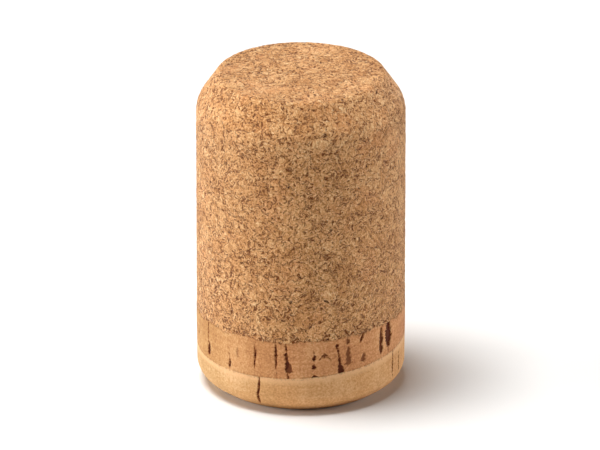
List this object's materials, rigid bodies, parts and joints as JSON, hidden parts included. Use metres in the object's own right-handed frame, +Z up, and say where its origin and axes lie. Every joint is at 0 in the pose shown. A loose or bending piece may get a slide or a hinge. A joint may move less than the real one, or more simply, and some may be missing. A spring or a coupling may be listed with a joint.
{
  "type": "cork stopper",
  "caption": "Sparkling-wine bottle stopper: a granulated cork body with a chamfered head, with natural cork discs glued on the end that goes into the neck.",
  "frame": {"origin": "middle of the foot, the flat end face of the outer disc, on the stopper's axis", "axes": "+Z up the axis from the wine end to the head; +X and +Y across it, so that the joint between the discs rises halfway between +X and +Y"},
  "size_m": [0.0306, 0.0306, 0.048],
  "materials": {
    "granulated_cork": "ground, matte, granular with dark specks",
    "natural_cork_pink": "ground, matte, with dark lenticels along the axis",
    "natural_cork_pale": "ground, matte, fine growth rings across the axis"
  },
  "bodies": {
    "root": {"granulated_body": "granulated_cork", "inner_disc": "natural_cork_pink", "outer_disc": "natural_cork_pale"}
  },
  "joints": []
}
